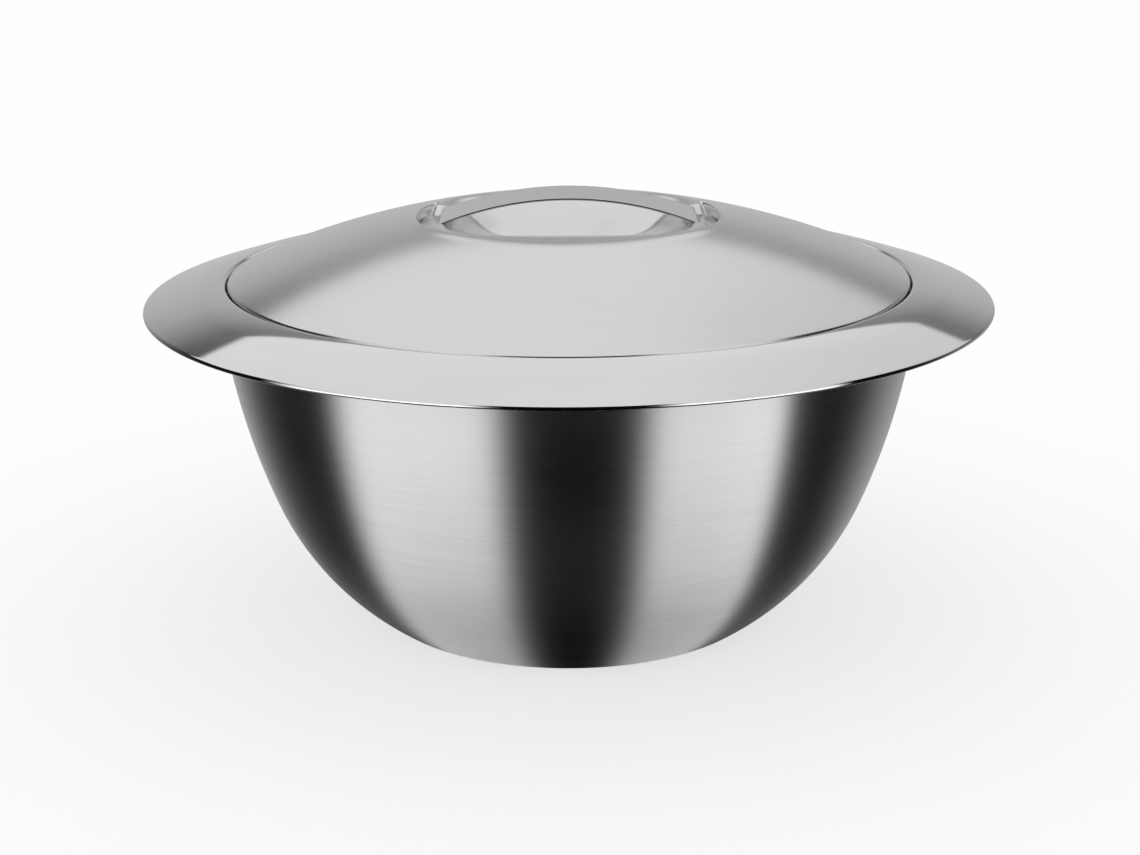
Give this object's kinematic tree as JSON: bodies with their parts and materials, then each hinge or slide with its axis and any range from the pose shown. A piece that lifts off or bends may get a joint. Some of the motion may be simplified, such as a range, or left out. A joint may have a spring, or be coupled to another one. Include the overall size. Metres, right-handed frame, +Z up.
{
  "type": "lidded serving bowl",
  "caption": "Round steel serving bowl with a wide sloping flange and a domed lift-off lid that has a strap handle over a finger well.",
  "frame": {"origin": "middle of the flat base, on the table", "axes": "+Z up along the bowl's axis, +X along the strap handle, -Y towards the viewer of the picture"},
  "size_m": [0.3, 0.3, 0.1534],
  "materials": {
    "polished_steel": "mirror polished",
    "brushed_steel": "brushed round the body",
    "satin_steel": "satin polished"
  },
  "bodies": {
    "bowl": {"inner_bowl": "polished_steel", "outer_shell": "brushed_steel"},
    "lid": {"lid": "satin_steel", "handle_strap": "satin_steel"}
  },
  "joints": [
    {"name": "lid_lift", "type": "slide", "parent": "bowl", "child": "lid", "axis": [0, 0, 1], "range_m": [0, 0.15]}
  ]
}
